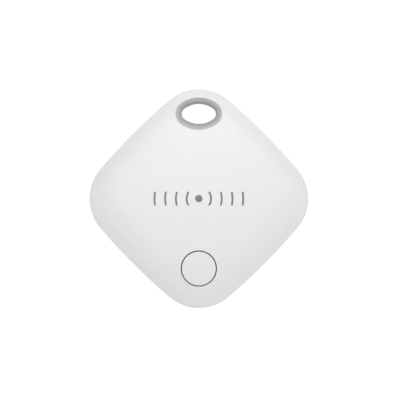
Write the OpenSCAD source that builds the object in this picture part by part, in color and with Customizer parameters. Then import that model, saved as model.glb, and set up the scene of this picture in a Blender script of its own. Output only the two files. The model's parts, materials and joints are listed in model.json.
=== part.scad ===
// Bluetooth tracker tag: a rounded-square plastic tag that hangs by one corner,
// with a push button, a piezo buzzer, a radio board and a coin cell behind a
// twist-off battery door. Lies on its back, front face up, origin at the
// centre of the back face. Millimetres.

/* [Body] */
// Distance between opposite sides
across_flats = 38; // [38:0.5:42]
// Distance between opposite corners, as a share of across_flats
corner_ratio = 1.183; // [1.175:0.001:1.188]
// Half the sweep of each corner arc, degrees: more makes the sides flatter
corner_sweep = 40.4; // [40.2:0.1:40.8]
// Overall thickness of the housing
thickness = 8; // [8:0.1:9]
// Wall of both shells
wall = 1.0; // [0.9:0.05:1.05]
// Height of the joint line between the two shells
joint_z = 3.0; // [2.9:0.05:3.1]

/* [Lanyard hole] */
// Length of the opening, along X
hole_length = 7.0; // [6.8:0.1:7.4]
// Height of the opening, along Y
hole_height = 4.12; // [4.0:0.02:4.3]
// Width of the grey rim in plan
rim_width = 1.24; // [1.1:0.02:1.3]
// From the corner of the body to the centre of the opening
hole_inset = 5.03; // [5:0.01:5.1]

/* [Button] */
// Diameter of the button cap
button_d = 7.0; // [6.6:0.1:7.2]
// Gap all round the button cap
button_gap = 0.25; // [0.2:0.01:0.3]
// From the corner of the body to the centre of the button
button_inset = 8.13; // [8:0.01:8.3]

/* [Battery door] */
// Diameter of the door disc
door_d = 25.8; // [25.6:0.1:25.8]
// Turn from locked to open, degrees
door_turn = 30; // [28:1:30]
// Length of the coin slot
slot_l = 13; // [10:0.5:15]

/* [Coin cell] */
// Diameter of the cell
cell_d = 20; // [19.9:0.05:20]
// Height of the cell
cell_h = 3.2; // [3.1:0.05:3.2]

/* [Hidden] */
$fn = 96;
e = 0.01;
white = [0.93, 0.93, 0.93];
grey = [0.62, 0.62, 0.63];
steel = [0.72, 0.72, 0.70];

// --- Outline: four wide side arcs and four corner arcs, tangent to each other
A = across_flats / 2;
K = A * corner_ratio;
phi = corner_sweep;
h2 = sqrt(0.5);
side_k = tan(phi) / (h2 * (1 - tan(phi)));
m = side_k * (h2 / sin(phi) - 1);
rc = (A - m * K) / (1 - m);
q = K - rc;
side_t = q * side_k;
Rs = side_t + A;

// --- Edge profiles: [radius, sine and cosine of the slope where the arc ends],
// from the flat outward. The slopes are 3-4-5 and 7-24-25 triangles.
front_arcs = [[14, 0.28, 0.96], [4.5, 0.8, 0.6], [1.5, 1, 0]];
back_arcs = [[8, 0.28, 0.96], [1.7, 1, 0]];
lip_arcs = [[0.5, 0.6, 0.8], [(rim_width - 0.1 - 0.3) / 0.4, 1, 0]];
function run(a, i = 0, s = 0) = i == len(a) ? 0 : a[i][0] * (a[i][1] - s) + run(a, i + 1, a[i][1]);
function dir(a, i) = i < 0 ? [0, 1] : [a[i][1], a[i][2]];
function centre(a, top, i) = i == 0 ? [-run(a), top - a[0][0]]
    : centre(a, top, i - 1) + (a[i - 1][0] - a[i][0]) * dir(a, i - 1);
front_in = run(front_arcs) + 1.0;
back_in = run(back_arcs) + 1.0;

// --- Heights of the stack
T = thickness;
ceiling = T - wall;
pcb_z = 4.9;
pcb_t = 0.8;
pcb_top = pcb_z + pcb_t;
cell_z = 1.3;

// --- Lanyard hole: a four-centre oval
ea = hole_length / 2;
eb = hole_height / 2;
ephi = 53.5;
eu = (ea - eb) / (1 + tan(ephi) - 1 / cos(ephi));
er = ea - eu;
eR = eb + eu * tan(ephi);
eye_y = K - hole_inset;
but_y = -(K - button_inset);
but_r = button_d / 2;

// --- Fastening points
screw_side = K - 6.275;
screw_low = K - 3.875;
screws = [[-screw_side, 0], [screw_side, 0], [0, -screw_low]];
lug_at = 90;
buz_y = 3;

// ============================================================ shape helpers

// Moves in a coarse and a fine step, which keeps every decimal
module shift(x, y = 0) {
    c = [floor(x * 100) / 100, floor(y * 100) / 100];
    translate([c[0], c[1], 0]) translate([x - c[0], y - c[1], 0]) children();
}

// Circular segment between the chord and the arc from direction d0 to d1
module arc_cap(c, r, d0, d1) {
    far = ceil((r + 0.3) / norm((d0 + d1) / 2) * 10) / 10;
    near = r - min(0.2, r / 2);
    intersection() {
        translate(c) circle(r = r);
        polygon([c + near * d0, c + near * d1, c + far * d1, c + far * d0]);
    }
}

// Section of a rounded edge: x is measured from the outline (0) inward (negative),
// y is height; w insets the whole section
module edge_section(a, top, low, w, inner) {
    n = len(a);
    pts = [for (i = [0:n - 1]) centre(a, top, i) + (a[i][0] - w) * dir(a, i)];
    first = centre(a, top, 0) + (a[0][0] - w) * dir(a, -1);
    polygon(concat([[pts[n - 1][0], low]], [for (i = [n - 1:-1:0]) pts[i]], [first, [-inner, first[1]], [-inner, low]]));
    for (i = [0:n - 1])
        arc_cap(centre(a, top, i), a[i][0] - w, dir(a, i - 1), dir(a, i));
}

// Sweeps a section round the body outline
module around_body() {
    for (k = [0:3]) rotate(90 * k) {
        shift(q) rotate_extrude(angle = 2 * phi, start = -phi) shift(rc) children();
        shift(-side_t * h2, -side_t * h2)
            rotate_extrude(angle = 90 - 2 * phi, start = phi) shift(Rs) children();
    }
}

// Flat region inside the body outline, offset outward by o
module body_plan(o) {
    xt = q + (rc + o) * cos(phi);
    for (k = [0:3]) rotate(90 * k) translate([q, 0]) circle(r = rc + o);
    intersection() {
        rotate(45) translate([-side_t, 0]) circle(r = Rs + o, $fn = 256);
        rotate(135) translate([-side_t, 0]) circle(r = Rs + o, $fn = 256);
        rotate(225) translate([-side_t, 0]) circle(r = Rs + o, $fn = 256);
        rotate(315) translate([-side_t, 0]) circle(r = Rs + o, $fn = 256);
        square(2 * xt, center = true);
    }
}

// Solid under the front surface, down to z0, inset by w
module front_volume(w, z0) {
    around_body() edge_section(front_arcs, T, z0, w, front_in);
    translate([0, 0, z0]) linear_extrude(T - w - z0) body_plan(-front_in + 0.5);
}

// Solid above the back surface, up to z1, inset by w
module back_volume(w, z1) {
    mirror([0, 0, 1]) {
        around_body() edge_section(back_arcs, 0, -z1, w, back_in);
        translate([0, 0, -z1]) linear_extrude(z1 - w) body_plan(-back_in + 0.5);
    }
}

// Oval of the lanyard hole, offset outward by o
module hole_plan(o) {
    xt = eu + (er + o) * cos(ephi);
    translate([0, eye_y]) {
        for (s = [-1, 1]) translate([s * eu, 0]) circle(r = er + o);
        intersection() {
            translate([0, eb - eR]) circle(r = eR + o);
            translate([0, eR - eb]) circle(r = eR + o);
            square([2 * xt, 4 * (eb + o)], center = true);
        }
    }
}

// Sweeps a section round the lanyard hole; x is measured outward from the opening
module around_hole() {
    translate([0, eye_y, 0]) {
        for (s = [0, 180]) rotate(s) shift(eu)
            rotate_extrude(angle = 2 * ephi, start = -ephi) shift(er) children();
        for (s = [90, 270]) rotate(s) shift(eb - eR)
            rotate_extrude(angle = 180 - 2 * ephi, start = ephi - 90) shift(eR) children();
    }
}

// Plan of the boss round the lanyard hole: wide enough to meet the corner wall squarely
module boss_plan() {
    hole_plan(rim_width + 0.9);
    translate([-5.3, eye_y]) square([10.6, K - 0.5 - eye_y]);
}

module ring(ro, ri, z0, z1) {
    translate([0, 0, z0]) difference() {
        cylinder(r = ro, h = z1 - z0);
        translate([0, 0, -1]) cylinder(r = ri, h = z1 - z0 + 2);
    }
}

// Part of a ring, from angle a0 round by da
module ring_sector(ro, ri, z0, z1, a0, da) {
    rotate(a0) rotate_extrude(angle = da) translate([ri, z0]) square([ro - ri, z1 - z0]);
}

module block(x, y, z, z0) {
    translate([-x / 2, -y / 2, z0]) cube([x, y, z]);
}

// Bent metal strip of thickness t through points, with round bends
module strip(pts, t) {
    for (i = [0:len(pts) - 2]) {
        d = pts[i + 1] - pts[i];
        translate(pts[i]) rotate(atan2(d[1], d[0])) translate([0, -t / 2]) square([norm(d), t]);
    }
    for (i = [1:len(pts) - 2]) translate(pts[i]) circle(d = t);
}

// Stands a plan section up in the X-Z plane, w wide along Y
module upright(w) {
    translate([0, w / 2, 0]) rotate([90, 0, 0]) linear_extrude(w) children();
}

// ================================================================= housing

// Front cover: ceiling, button hole, buzzer rib and the front half of the hole boss
module front_shell() {
    color(white) difference() {
        union() {
            difference() {
                front_volume(0, joint_z);
                front_volume(wall, joint_z - 1);
            }
            intersection() {
                translate([0, 0, joint_z + 0.3]) linear_extrude(T) boss_plan();
                front_volume(0.2, joint_z);
            }
            translate([0, buz_y, 0]) ring(7.4, 6.6, 6.7, ceiling + 0.2);
        }
        translate([0, 0, joint_z - 1]) linear_extrude(T) hole_plan(rim_width + 0.03);
        translate([0, but_y, ceiling - 1]) cylinder(r = but_r + button_gap, h = 3);
        // rebate for the tongue of the back cover
        around_body() translate([-wall - 0.2, joint_z - 0.1]) square([wall - 0.3, 0.9]);
        // shadow line along the joint
        around_body() translate([-0.14, joint_z - 0.1]) square([0.3, 0.2]);
    }
}

// Back cover: door seat with bayonet ledge, board posts, hole boss and tongue
module back_shell() {
    color(white) difference() {
        union() {
            difference() {
                back_volume(0, joint_z);
                back_volume(wall, joint_z + 1);
            }
            around_body() translate([-wall, joint_z - 0.8]) square([0.45, 1.55]);
            translate([0, 0, 0.4]) cylinder(r = door_d / 2 + 1.0, h = 2.1);
            for (p = screws) translate([p[0], p[1], 0.5]) cylinder(r = 1.7, h = 3.7);
            intersection() {
                linear_extrude(joint_z - 0.3) boss_plan();
                back_volume(0.2, joint_z);
            }
        }
        translate([0, 0, -1]) linear_extrude(T) hole_plan(rim_width + 0.03);
        translate([0, 0, -1]) cylinder(r = door_d / 2 + 0.2, h = 2.1);
        translate([0, 0, -1]) cylinder(r = 11.15, h = 5);
        for (k = [0:2]) {
            ring_sector(11.95, 10.5, 1.7, 3, lug_at + 120 * k - door_turn - 13, door_turn + 26);
            ring_sector(11.95, 10.5, 0.9, 1.7, lug_at + 120 * k - door_turn - 13, 26);
        }
        for (p = screws) translate([p[0], p[1], 1.6]) cylinder(r = 0.82, h = 4);
        // locked and open marks
        for (a = [90, 90 - door_turn]) rotate(a) translate([13.75, 0, -1]) cylinder(r = 0.3, h = 1.15);
    }
}

// Grey oval bush of the lanyard hole, held by its rib between the two covers
module lanyard_eyelet() {
    color(grey) {
        intersection() {
            around_hole() {
                mirror([1, 0]) edge_section(lip_arcs, T - 0.03, T / 2 - 0.1, 0, rim_width);
                mirror([1, 0]) translate([0, T]) mirror([0, 1]) edge_section(lip_arcs, T - 0.03, T / 2 - 0.1, 0, rim_width);
            }
            union() {
                front_volume(0, T / 2 - 0.2);
                back_volume(0, T / 2);
            }
        }
        difference() {
            translate([0, 0, joint_z - 0.28]) linear_extrude(0.56) hole_plan(rim_width + 0.6);
            translate([0, 0, joint_z - 1]) linear_extrude(2) hole_plan(rim_width - 0.3);
        }
    }
}

// Printed beacon symbol: a dot between four arcs on each side
module printed_symbol() {
    color([0.4, 0.4, 0.42]) translate([0, 0, T]) linear_extrude(0.03) {
        circle(r = 0.75);
        for (s = [0, 180], i = [0:3]) rotate(s) intersection() {
            difference() {
                circle(r = 2.5 + 2.2 * i + 0.2);
                circle(r = 2.5 + 2.2 * i - 0.2);
            }
            translate([0, -1.45]) square([20, 2.9]);
        }
    }
}

// ================================================================== button

module button_cap() {
    color(white) {
        intersection() {
            translate([0, but_y, ceiling]) cylinder(r = but_r, h = 3);
            front_volume(0, joint_z);
        }
        translate([0, but_y, ceiling - 0.25]) cylinder(r = 1.6, h = 0.5);
    }
}

// Dark silicone membrane under the cap; it shows in the gap round the button
module button_membrane() {
    color([0.16, 0.16, 0.17]) intersection() {
        translate([0, but_y, 0]) rotate_extrude() polygon([
            [0, 6.5], [1.4, 6.5], [1.6, 6.58], [3.9, 6.58], [4.0, 6.45], [4.7, 6.45], [4.7, 7.2],
            [4.0, 7.2], [3.9, 6.8], [3.3, 6.8], [3.2, ceiling], [1.62, ceiling], [1.62, 6.73], [0, 6.73]]);
        front_volume(wall + 0.02, joint_z);
    }
}

// Tactile switch under the button
module switch_base() {
    color([0.12, 0.12, 0.12]) translate([0, but_y, 0]) difference() {
        block(4.2, 3.4, 0.45, pcb_top);
        translate([0, 0, pcb_top + 0.12]) cylinder(r = 1.58, h = 1);
    }
}

module switch_terminals() {
    color(steel) translate([0, but_y, 0]) {
        for (x = [-1, 1], y = [-1, 1])
            translate([x * 2.35, y * 1.1, 0]) block(0.5, 0.6, 0.15, pcb_top);
        translate([0, 0, pcb_top + 0.12]) cylinder(r = 0.4, h = 0.02);
    }
}

module switch_dome() {
    r = 4.457;
    top = pcb_top + 0.39;
    color(steel) translate([0, but_y, 0]) intersection() {
        difference() {
            translate([0, 0, top - r]) sphere(r = r);
            translate([0, 0, top - r]) sphere(r = r - 0.06);
        }
        translate([0, 0, pcb_top + 0.13]) cylinder(r = 1.5, h = 1);
    }
}

module switch_plunger() {
    color([0.75, 0.72, 0.62]) translate([0, but_y, 0]) {
        translate([0, 0, pcb_top + 0.4]) cylinder(r = 1.0, h = 0.04);
        translate([0, 0, pcb_top + 0.4]) cylinder(r = 0.75, h = 0.39);
    }
}

module switch_cover() {
    color(steel) translate([0, but_y, 0]) difference() {
        block(4.2, 3.4, 0.1, pcb_top + 0.45);
        translate([0, 0, pcb_top]) cylinder(r = 0.85, h = 2);
    }
}

// ============================================================== electronics

module main_board() {
    color([0.05, 0.32, 0.18]) difference() {
        translate([0, 0, pcb_z]) linear_extrude(pcb_t) intersection() {
            body_plan(-2.2);
            translate([-K, -K - 1]) square([2 * K, K + 1 + eye_y - 4.84]);
        }
        for (p = screws) translate([p[0], p[1], 0]) cylinder(r = 0.95, h = T);
    }
}

module bluetooth_chip() {
    color([0.07, 0.07, 0.08]) translate([-11.5, -3.5, 0]) rotate(45) difference() {
        block(5, 5, 0.75, pcb_top);
        translate([-1.9, 1.9, pcb_top + 0.71]) cylinder(r = 0.25, h = 1);
    }
}

module crystal() {
    color(steel) translate([-11.2, 3.8, pcb_top]) rotate(-45) {
        translate([-1.6, -1.25, 0]) cube([3.2, 2.5, 0.45]);
        translate([-1.4, -1.05, 0.4]) cube([2.8, 2.1, 0.3]);
    }
}

module chip_antenna() {
    color([0.85, 0.85, 0.8]) translate([11.8, 8.8, 0]) rotate(-45) block(3.2, 1.6, 0.8, pcb_top);
}

module boost_inductor() {
    color([0.3, 0.3, 0.31]) translate([11.6, -3.6, pcb_top]) rotate(-45) {
        for (z = [0, 0.75]) translate([-1.5, -1.5, z]) cube([3, 3, 0.25]);
        cylinder(r = 1.3, h = 1);
    }
}

module buzzer_transistor() {
    color([0.07, 0.07, 0.08]) translate([8.6, -9.2, 0]) rotate(-45) {
        block(2.9, 1.3, 0.85, pcb_top + 0.05);
        for (p = [[-0.95, -1], [0.95, -1], [0, 1]])
            translate([p[0], p[1] * 0.85, 0]) block(0.4, 0.6, 0.15, pcb_top);
    }
}

module smd_capacitors() {
    color([0.6, 0.5, 0.38])
        for (p = [[-8.2, -8.6, 45], [-6.9, -9.9, 45], [-13.1, -6.5, 45], [-14.3, 3.9, -45],
            [-9.2, 7.2, -45], [12.6, 1.6, 0], [12.6, 3.4, 0], [9.4, 10.4, -45]])
            translate([p[0], p[1], 0]) rotate(p[2]) block(1, 0.5, 0.5, pcb_top);
}

module smd_resistors() {
    color([0.1, 0.1, 0.11])
        for (p = [[-5.6, -11.2, 45], [-9.6, -7.2, 45], [5.6, -11.6, -45], [6.6, -7.0, -45], [9.8, -6.6, -45]])
            translate([p[0], p[1], 0]) rotate(p[2]) block(1, 0.5, 0.35, pcb_top);
}

// Three thread-forming screws with cross recesses
module board_screws() {
    color(steel) for (p = screws) translate([p[0], p[1], 0]) difference() {
        union() {
            translate([0, 0, pcb_top]) cylinder(r = 1.4, h = 0.5);
            rotate_extrude() polygon(concat([[0, pcb_top + e], [0, 1.9], [0.35, 2.1]],
                [for (i = [0:8]) each [[0.62, 2.3 + 0.35 * i], [0.8, 2.42 + 0.35 * i], [0.62, 2.54 + 0.35 * i]]],
                [[0.62, pcb_top + e]]));
        }
        for (a = [45, 135]) rotate(a) block(1.5, 0.35, 0.5, pcb_top + 0.22);
    }
}

// ================================================================== buzzer

module buzzer_diaphragm() {
    color([0.80, 0.64, 0.30]) translate([0, buz_y, 6.5]) cylinder(r = 7.5, h = 0.15);
}

module buzzer_ceramic() {
    color([0.82, 0.82, 0.80]) translate([0, buz_y, 6.38]) cylinder(r = 5, h = 0.12);
}

module buzzer_adhesive() {
    color([0.9, 0.88, 0.75]) translate([0, buz_y, 0]) ring(7.35, 6.65, 6.65, 6.7);
}

// Two leaf springs: one presses on the ceramic, one on the brass
module buzzer_springs() {
    color([0.83, 0.68, 0.35]) {
        translate([-2.4, buz_y, pcb_top]) upright(1.2)
            strip([[0, 0.05], [2, 0.05], [2.3, 0.3], [1.9, 0.55], [0.2, 0.62]], 0.1);
        translate([4.2, buz_y, pcb_top]) upright(1.2)
            strip([[-0.2, 0.05], [1.8, 0.05], [2.5, 0.35], [2.3, 0.6], [1.6, 0.74]], 0.1);
    }
}

// ================================================================= battery

// Ring that guides the cell, screwed between the posts and the board
module battery_cradle() {
    color([0.16, 0.16, 0.17]) difference() {
        union() {
            translate([0, 0, 2.6]) cylinder(r = 11.25, h = pcb_z - 2.6);
            for (p = screws) {
                translate([p[0], p[1], 4.2]) cylinder(r = 1.9, h = pcb_z - 4.2);
                rotate(atan2(p[1], p[0])) translate([10, -1.9, 4.2]) cube([norm(p) - 10, 3.8, pcb_z - 4.2]);
            }
        }
        translate([0, 0, 1]) cylinder(r = cell_d / 2 + 0.25, h = 5);
        for (p = screws) translate([p[0], p[1], 1]) cylinder(r = 0.95, h = 5);
        rotate(135) translate([9, -1.7, 2]) cube([4, 3.4, 4]);
    }
}

// Bowed spring on the board that presses on the cell's cap
module negative_contact() {
    color(steel) upright(3)
        strip([[-6.5, 4.83], [-4, 4.83], [-1.2, 4.57], [1.2, 4.57], [4, 4.83], [6.5, 4.83]], 0.12);
}

// Hooked spring that presses on the side of the cell
module positive_contact() {
    color(steel) rotate(135) upright(2.4)
        strip([[14.6, 4.83], [12.2, 4.83], [11.75, 4.35], [10.1, 3.4], [10.7, 2.75]], 0.12);
}

module cell_can() {
    r = cell_d / 2;
    color(steel) rotate_extrude() polygon([[0, cell_z], [r - 0.5, cell_z], [r - 0.15, cell_z + 0.15],
        [r, cell_z + 0.5], [r, cell_z + 2.7], [r - 0.15, cell_z + 2.9], [r - 0.8, cell_z + 2.98],
        [r - 0.8, cell_z + 2.78], [r - 0.25, cell_z + 2.7], [r - 0.25, cell_z + 0.6],
        [r - 0.6, cell_z + 0.25], [0, cell_z + 0.25]]);
}

module cell_gasket() {
    r = cell_d / 2;
    color([0.2, 0.2, 0.22]) rotate_extrude() polygon([[r - 0.95, cell_z + 0.3], [r - 0.6, cell_z + 0.3],
        [r - 0.27, cell_z + 0.62], [r - 0.27, cell_z + 2.68], [r - 0.85, cell_z + 2.76],
        [r - 0.85, cell_z + 2.98], [r - 0.95, cell_z + 2.98]]);
}

module cell_cap() {
    r = cell_d / 2;
    color(steel) rotate_extrude() polygon([[0, cell_z + cell_h], [r - 1.3, cell_z + cell_h],
        [r - 0.97, cell_z + cell_h - 0.25], [r - 0.97, cell_z + 0.4], [r - 1.17, cell_z + 0.4],
        [r - 1.17, cell_z + cell_h - 0.3], [0, cell_z + cell_h - 0.3]]);
}

module cell_electrodes() {
    color([0.25, 0.25, 0.26]) translate([0, 0, cell_z + 0.27]) cylinder(r = cell_d / 2 - 1.2, h = cell_h - 0.6);
}

// Door: disc with coin slot, seal groove, skirt and three bayonet lugs
module battery_door() {
    r = door_d / 2;
    color(white) difference() {
        union() {
            rotate_extrude() polygon([[0, 0.1], [r - 0.2, 0.1], [r, 0.3], [r, 1.0],
                [r - 0.25, 1.0], [r - 0.25, 0.6], [r - 0.85, 0.6], [r - 0.85, 1.0],
                [11.0, 1.0], [11.0, 2.4], [10.3, 2.4], [10.3, 1.0], [0, 1.0]]);
            for (k = [0:2]) ring_sector(11.8, 10.6, 1.8, 2.4, lug_at + 120 * k - 12, 24);
        }
        translate([-slot_l / 2 + 0.9, -0.9, -1]) cube([slot_l - 1.8, 1.8, 1.6]);
        for (s = [-1, 1]) translate([s * (slot_l / 2 - 0.9), 0, -1]) cylinder(r = 0.9, h = 1.6);
        translate([0, 10.6, -1]) cylinder(r = 0.35, h = 1.25);
    }
}

module door_o_ring() {
    color([0.1, 0.1, 0.1]) rotate_extrude() translate([door_d / 2 - 0.55, 0.85]) circle(r = 0.24, $fn = 48);
}

module cell_pad() {
    color([0.2, 0.2, 0.2]) translate([0, 0, 1.0]) cylinder(r = 7, h = 0.28);
}

front_shell();
back_shell();
lanyard_eyelet();
printed_symbol();
button_cap();
button_membrane();
main_board();
bluetooth_chip();
crystal();
chip_antenna();
boost_inductor();
buzzer_transistor();
smd_capacitors();
smd_resistors();
board_screws();
switch_base();
switch_terminals();
switch_dome();
switch_plunger();
switch_cover();
buzzer_diaphragm();
buzzer_ceramic();
buzzer_adhesive();
buzzer_springs();
battery_cradle();
negative_contact();
positive_contact();
cell_can();
cell_gasket();
cell_cap();
cell_electrodes();
battery_door();
door_o_ring();
cell_pad();
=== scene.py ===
import bpy, math, json
import numpy as np
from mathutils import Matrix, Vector
from mathutils.geometry import delaunay_2d_cdt


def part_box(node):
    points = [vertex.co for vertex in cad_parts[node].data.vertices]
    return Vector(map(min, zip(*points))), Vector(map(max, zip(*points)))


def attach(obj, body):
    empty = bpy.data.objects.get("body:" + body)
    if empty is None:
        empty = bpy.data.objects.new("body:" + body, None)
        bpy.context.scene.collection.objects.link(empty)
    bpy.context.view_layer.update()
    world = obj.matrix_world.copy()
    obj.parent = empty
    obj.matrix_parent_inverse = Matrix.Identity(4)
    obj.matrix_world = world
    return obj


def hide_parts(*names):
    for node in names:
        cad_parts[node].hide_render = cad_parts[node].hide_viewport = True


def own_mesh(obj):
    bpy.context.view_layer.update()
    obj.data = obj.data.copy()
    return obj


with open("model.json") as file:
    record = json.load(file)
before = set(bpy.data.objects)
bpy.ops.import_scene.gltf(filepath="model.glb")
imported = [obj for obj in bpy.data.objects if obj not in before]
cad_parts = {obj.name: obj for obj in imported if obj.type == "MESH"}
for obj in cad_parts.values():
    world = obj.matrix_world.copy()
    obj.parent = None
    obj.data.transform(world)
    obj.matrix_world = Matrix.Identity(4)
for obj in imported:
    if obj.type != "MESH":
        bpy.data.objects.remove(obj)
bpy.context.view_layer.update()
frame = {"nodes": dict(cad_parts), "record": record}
MM = 0.001
NODES, RECORD = frame["nodes"], frame["record"]

# ------------------------------------------------------------------ outline
K = float(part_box("front_shell")[1][0]) / MM
A = K / 1.183
PHI = math.radians(40.4)
H2 = math.sqrt(0.5)
side_k = math.tan(PHI) / (H2 * (1 - math.tan(PHI)))
mm_ = side_k * (H2 / math.sin(PHI) - 1)
RC = (A - mm_ * K) / (1 - mm_)
Q = K - RC
ST = Q * side_k
RS = ST + A
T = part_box("printed_symbol")[0][2] / MM
WALL = 1.0
JOINT = 3.0
EYE_Y = (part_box("lanyard_eyelet")[0][1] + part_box("lanyard_eyelet")[1][1]) / 2 / MM
BUT_Y = (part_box("button_cap")[0][1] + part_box("button_cap")[1][1]) / 2 / MM
EA, EB, EPHI = 3.5, 2.06, math.radians(53.5)
EU = (EA - EB) / (1 + math.tan(EPHI) - 1 / math.cos(EPHI))
ER = EA - EU
EBR = EB + EU * math.tan(EPHI)
RIM = 1.24


def rot(k, v):
    c, s = [(1, 0), (0, 1), (-1, 0), (0, -1)][k % 4]
    return np.array([v[0] * c - v[1] * s, v[0] * s + v[1] * c])


def four_arcs(spec):
    """Centres, radii and unit normals of a closed loop of tangent arcs: spec lists (centre, radius, first, last angle, steps)."""
    C, R, N = [], [], []
    for c, r, a0, a1, n in spec:
        for i in range(n):
            a = a0 + (a1 - a0) * i / n
            C.append(c)
            R.append(r)
            N.append((math.cos(a), math.sin(a)))
    return np.array(C, float), np.array(R, float), np.array(N, float)


body_spec = []
for k in range(4):
    body_spec.append((rot(k, (Q, 0)), RC, k * math.pi / 2 - PHI, k * math.pi / 2 + PHI, 44))
    body_spec.append((rot(k, (-ST * H2, -ST * H2)), RS, k * math.pi / 2 + PHI, (k + 1) * math.pi / 2 - PHI, 24))
BC, BR, BN = four_arcs(body_spec)
eye_spec = []
for k, (c, r, half) in enumerate([((EU, 0), ER, EPHI), ((0, EB - EBR), EBR, math.pi / 2 - EPHI),
                                  ((-EU, 0), ER, EPHI), ((0, EBR - EB), EBR, math.pi / 2 - EPHI)]):
    eye_spec.append(((c[0], c[1] + EYE_Y), r, k * math.pi / 2 - half, k * math.pi / 2 + half, 30 if k % 2 == 0 else 22))
EC, ERR, EN = four_arcs(eye_spec)


def body_loop(o):
    return BC + (BR + o)[:, None] * BN


def eye_loop(o):
    return EC + (ERR + o)[:, None] * EN


def circle_loop(c, r, n=96):
    a = np.arange(n) * 2 * math.pi / n
    nn = np.stack([np.cos(a), np.sin(a)], 1)
    return np.array(c) + r * nn, nn


def body_dist(P):
    """Distance in from the outline, and the outward direction."""
    P = np.asarray(P, float)
    best, nrm = None, None
    for k in range(4):
        v = P - rot(k, (-ST * H2, -ST * H2))
        ln = np.linalg.norm(v, axis=1)
        d = RS - ln
        n = v / ln[:, None]
        if best is None:
            best, nrm = d, n
        else:
            m = d < best
            best = np.where(m, d, best)
            nrm = np.where(m[:, None], n, nrm)
    for k in range(4):
        v = P - rot(k, (Q, 0))
        ln = np.maximum(np.linalg.norm(v, axis=1), 1e-9)
        e = rot(k, (1, 0))
        m = (v @ e) >= ln * math.cos(PHI)
        best = np.where(m, RC - ln, best)
        nrm = np.where(m[:, None], v / ln[:, None], nrm)
    return best, nrm


def eye_dist(P):
    """Distance out from the lanyard opening (negative inside it)."""
    P = np.asarray(P, float)
    best = None
    for s in (1, -1):
        v = P - np.array((0, EYE_Y + s * (EB - EBR)))
        d = np.linalg.norm(v, axis=1) - EBR
        best = d if best is None else np.maximum(best, d)
    for s in (1, -1):
        v = P - np.array((s * EU, EYE_Y))
        ln = np.maximum(np.linalg.norm(v, axis=1), 1e-9)
        m = v[:, 0] * s >= ln * math.cos(EPHI)
        best = np.where(m, ln - ER, best)
    return best


class Edge:
    """A rounded edge in section: arcs (radius, sine of the slope each ends at), from the flat outward."""

    def __init__(self, arcs, top):
        self.arcs, self.top = arcs, top
        self.run = sum(r * (s - (arcs[i - 1][1] if i else 0)) for i, (r, s) in enumerate(arcs))
        cx, cz, s0 = -self.run, top - arcs[0][0], 0.0
        self.parts = []
        for i, (r, s1) in enumerate(arcs):
            if i:
                pr = arcs[i - 1][0]
                c0 = math.sqrt(1 - s0 * s0)
                cx, cz = cx + (pr - r) * s0, cz + (pr - r) * c0
            self.parts.append((cx, cz, r, s0, s1))
            s0 = s1
        self.side_z = cz

    def at(self, d):
        """Height and slope (sine, cosine) at a distance in from the outline."""
        x = -np.asarray(d, float)
        z = np.full(x.shape, self.top)
        s = np.zeros(x.shape)
        for cx, cz, r, s0, s1 in self.parts:
            m = x > cx + r * s0 - 1e-12
            t = np.clip((x - cx) / r, -1, 1)
            z = np.where(m, cz + r * np.sqrt(np.maximum(1 - t * t, 0)), z)
            s = np.where(m, t, s)
        return z, s, np.sqrt(np.maximum(1 - s * s, 0))

    def rings(self, first, last, n):
        """(distance in, height, sine, cosine) from one slope sine to another, evenly in angle."""
        out = []
        for a in np.linspace(math.asin(first), math.asin(last), n):
            s = math.sin(a)
            for cx, cz, r, s0, s1 in self.parts:
                if s <= s1 + 1e-9:
                    break
            out.append((-(cx + r * s), cz + r * math.cos(a), s, math.cos(a)))
        return out


FRONT = Edge([(14, 0.28), (4.5, 0.8), (1.5, 1.0)], T)
BACK = Edge([(8, 0.28), (1.7, 1.0)], 0.0)


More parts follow.
